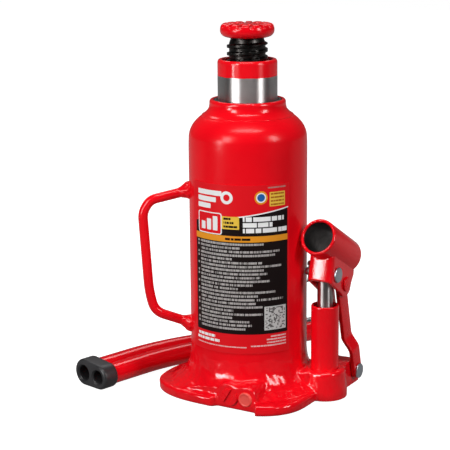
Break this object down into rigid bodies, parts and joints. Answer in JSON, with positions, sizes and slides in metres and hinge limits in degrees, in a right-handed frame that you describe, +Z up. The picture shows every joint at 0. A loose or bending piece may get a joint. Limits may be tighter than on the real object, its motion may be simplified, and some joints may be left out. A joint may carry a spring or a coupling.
{
  "type": "bottle jack",
  "caption": "Welded hydraulic bottle jack: cast base, round reservoir, telescoping ram with extension screw and saddle, side pump with handle socket, carry loop and loose handle.",
  "frame": {"origin": "on the ram's axis, on the ground plane under the base", "axes": "+Z up along the ram, +X from the ram to the pump, -Y to the side with the two valves and the mouth of the handle socket"},
  "size_m": [0.1851, 0.213, 0.259],
  "materials": {
    "base": "gloss red paint",
    "reservoir": "gloss red paint",
    "top_nut": "gloss red paint",
    "saddle": "gloss red paint",
    "carry_handle": "gloss red paint",
    "carry_weld_top": "gloss red paint",
    "carry_weld_bottom": "gloss red paint",
    "pump_cylinder": "gloss red paint",
    "socket_tube": "gloss red paint",
    "socket_bracket": "gloss red paint",
    "link_pin": "gloss red paint",
    "link_strap_right": "gloss red paint",
    "link_strap_left": "gloss red paint",
    "release_valve": "gloss red paint",
    "handle_tube_large": "gloss red paint",
    "handle_tube_small": "gloss red paint",
    "ram": "ground steel, red paint on the top band",
    "extension_screw": "oiled black steel",
    "main_cylinder": "plain steel",
    "pump_piston": "plain steel",
    "suction_ball": "plain steel",
    "delivery_ball": "plain steel",
    "release_ball": "plain steel",
    "overload_ball": "plain steel",
    "overload_spring": "plain steel",
    "overload_screw": "plain steel",
    "screw_stop_ring": "plain steel",
    "piston_pin_cotter": "plain steel",
    "piston_pin": "zinc plated steel",
    "base_pin": "zinc plated steel",
    "cylinder_gasket": "soft copper",
    "pump_gasket": "soft copper",
    "top_nut_o_ring": "black rubber",
    "ram_wiper": "black rubber",
    "ram_seal": "black rubber",
    "pump_wiper": "black rubber",
    "pump_o_ring": "black rubber",
    "release_valve_o_ring": "black rubber",
    "filler_plug": "black rubber",
    "ram_backup_ring": "white plastic",
    "handle_end_cap": "satin black rubber",
    "overload_cap": "orange red plastic",
    "label": "printed vinyl"
  },
  "bodies": {
    "frame": {"base": "base", "reservoir": "reservoir", "main_cylinder": "main_cylinder", "cylinder_gasket": "cylinder_gasket", "top_nut": "top_nut", "top_nut_o_ring": "top_nut_o_ring", "ram_wiper": "ram_wiper", "carry_handle": "carry_handle", "carry_weld_top": "carry_weld_top", "carry_weld_bottom": "carry_weld_bottom", "label": "label", "pump_cylinder": "pump_cylinder", "pump_gasket": "pump_gasket", "pump_wiper": "pump_wiper", "base_pin": "base_pin", "overload_cap": "overload_cap", "overload_screw": "overload_screw", "overload_spring": "overload_spring", "overload_ball": "overload_ball"},
    "ram": {"ram": "ram", "ram_seal": "ram_seal", "ram_backup_ring": "ram_backup_ring"},
    "stop_ring": {"screw_stop_ring": "screw_stop_ring"},
    "screw": {"extension_screw": "extension_screw", "saddle": "saddle"},
    "piston": {"pump_piston": "pump_piston", "pump_o_ring": "pump_o_ring"},
    "socket": {"socket_tube": "socket_tube", "socket_bracket": "socket_bracket", "piston_pin": "piston_pin", "piston_pin_cotter": "piston_pin_cotter", "link_pin": "link_pin"},
    "link": {"link_strap_right": "link_strap_right", "link_strap_left": "link_strap_left"},
    "valve_ball": {"release_ball": "release_ball", "release_valve_o_ring": "release_valve_o_ring"},
    "valve": {"release_valve": "release_valve"},
    "plug": {"filler_plug": "filler_plug"},
    "suction_ball": {"suction_ball": "suction_ball"},
    "delivery_ball": {"delivery_ball": "delivery_ball"},
    "loose_handle": {"handle_tube_large": "handle_tube_large", "handle_tube_small": "handle_tube_small", "handle_end_cap": "handle_end_cap"}
  },
  "joints": [
    {"name": "ram_slide", "type": "slide", "parent": "frame", "child": "ram", "axis": [0, 0, 1], "range_m": [-0.016, 0.134]},
    {"name": "screw_rise", "type": "slide", "parent": "ram", "child": "stop_ring", "axis": [0, 0, 1], "range_m": [-0.0142, 0.0657]},
    {"name": "screw_turn", "type": "hinge", "parent": "stop_ring", "child": "screw", "pos_m": [0, 0, 0.2], "axis": [0, 0, 1], "range_deg": [-995, 4630]},
    {"name": "piston_slide", "type": "slide", "parent": "frame", "child": "piston", "axis": [0, 0, 1], "range_m": [-0.0062, 0.0028]},
    {"name": "socket_turn", "type": "hinge", "parent": "piston", "child": "socket", "pos_m": [0.0556, 0.0095, 0.0886], "axis": [1, 0, 0], "range_deg": [-12, 27]},
    {"name": "link_swing", "type": "hinge", "parent": "frame", "child": "link", "pos_m": [0.0556, 0.04, 0.011], "axis": [1, 0, 0], "range_deg": [-3.1, 1.5]},
    {"name": "valve_shift", "type": "slide", "parent": "frame", "child": "valve_ball", "axis": [0, -1, 0], "range_m": [0, 0.00151]},
    {"name": "valve_turn", "type": "hinge", "parent": "valve_ball", "child": "valve", "pos_m": [0.0126, -0.0485, 0.0089], "axis": [0, -1, 0], "range_deg": [0, 360]},
    {"name": "plug_pull", "type": "slide", "parent": "frame", "child": "plug", "axis": [0, 1, 0], "range_m": [0, 0.012]},
    {"name": "suction_lift", "type": "slide", "parent": "frame", "child": "suction_ball", "axis": [0.9854, 0.1701, 0], "range_m": [0, 0.0015]},
    {"name": "delivery_lift", "type": "slide", "parent": "frame", "child": "delivery_ball", "axis": [-0.9942, 0.1075, 0], "range_m": [0, 0.0015]},
    {"name": "handle_lift", "type": "slide", "parent": "frame", "child": "loose_handle", "axis": [0, 0, 1], "range_m": [0, 0.15]}
  ],
  "couplings": [
    {"joint": "screw_rise", "follows": "screw_turn", "m_per_rad": 0.00081169},
    {"joint": "piston_slide", "follows": "socket_turn", "m_per_rad": -0.01289},
    {"joint": "link_swing", "follows": "socket_turn", "ratio": -0.11},
    {"joint": "valve_shift", "follows": "valve_turn", "m_per_rad": 0.00023873}
  ]
}
